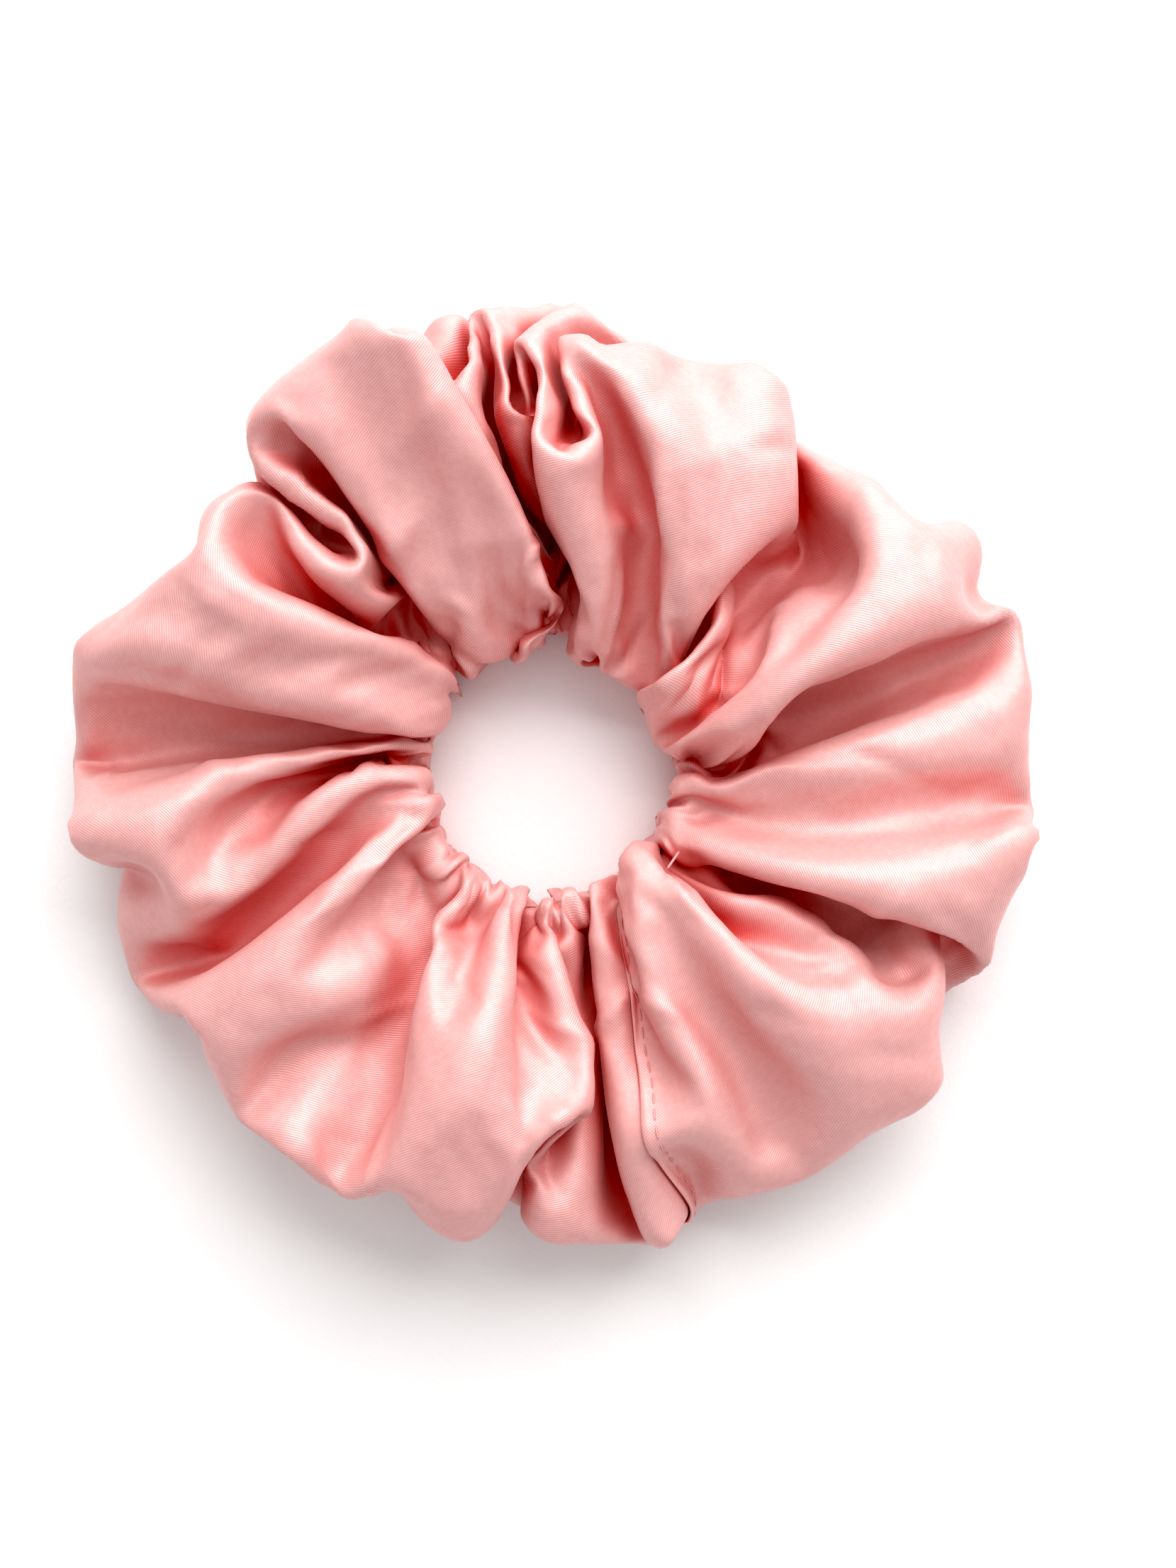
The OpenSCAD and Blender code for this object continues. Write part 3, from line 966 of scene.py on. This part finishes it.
# %% Surface
TABLE = 1.5
corners = [(-TABLE, -TABLE, 0), (TABLE, -TABLE, 0), (TABLE, TABLE, 0), (-TABLE, TABLE, 0)]
floor = add_object("table_top", corners, [(0, 1, 2, 3)])
paper = bpy.data.materials.new("pale_surface")
paper.use_nodes = True
paper_tree = paper.node_tree
paper_shader = paper_tree.nodes["Principled BSDF"]
paper_shader.inputs["Base Color"].default_value = (0.94, 0.925, 0.93, 1)
paper_shader.inputs["Roughness"].default_value = 0.55
paper_place = put(paper_tree, "ShaderNodeTexCoord")
paper_grain = put(paper_tree, "ShaderNodeTexNoise", paper_place.outputs["Object"], None, 900.0, 3.0)
paper_bump = put(paper_tree, "ShaderNodeBump")
paper_bump.inputs["Strength"].default_value = 0.6
paper_bump.inputs["Distance"].default_value = 0.0001
paper_tree.links.new(paper_grain.outputs[0], paper_bump.inputs["Height"])
paper_tree.links.new(paper_bump.outputs[0], paper_shader.inputs["Normal"])
floor.data.materials.append(paper)

# %% Light
world = bpy.data.worlds.new("studio")
bpy.context.scene.world = world
world.use_nodes = True
world.node_tree.nodes["Background"].inputs[0].default_value = (1.0, 0.99, 0.985, 1)
world.node_tree.nodes["Background"].inputs[1].default_value = 0.66


def soft_light(name, place, size, power, colour):
    data = bpy.data.lights.new(name, "AREA")
    data.energy, data.size, data.color = power, size, colour
    ob = bpy.data.objects.new(name, data)
    ob.location = place
    ob.rotation_euler = (Vector((0, 0, 0)) - ob.location).to_track_quat("-Z", "Y").to_euler()
    bpy.context.scene.collection.objects.link(ob)


soft_light("window", (0.18, 0.70, 0.54), 1.0, 16.0, (1.0, 0.985, 0.97))

# %% Camera
VIEW_H = 232 * MM
CAMERA_Z = 0.36
AIM_Z = 9 * MM
camera_data = bpy.data.cameras.new("overhead")
camera = bpy.data.objects.new("overhead", camera_data)
bpy.context.scene.collection.objects.link(camera)
camera.location = (RING_CENTRE.x + 5.8 * MM, RING_CENTRE.y - 2.1 * MM, CAMERA_Z)
camera_data.sensor_width = 36
camera_data.lens = 36 * (CAMERA_Z - AIM_Z) / VIEW_H
camera_data.clip_start = 0.01
bpy.context.scene.camera = camera
view = bpy.context.scene.view_settings
view.view_transform = "Standard"
view.use_curve_mapping = True
view.curve_mapping.black_level = (0.008, 0.014, 0.014)
print("lens", round(camera_data.lens, 1), "mm")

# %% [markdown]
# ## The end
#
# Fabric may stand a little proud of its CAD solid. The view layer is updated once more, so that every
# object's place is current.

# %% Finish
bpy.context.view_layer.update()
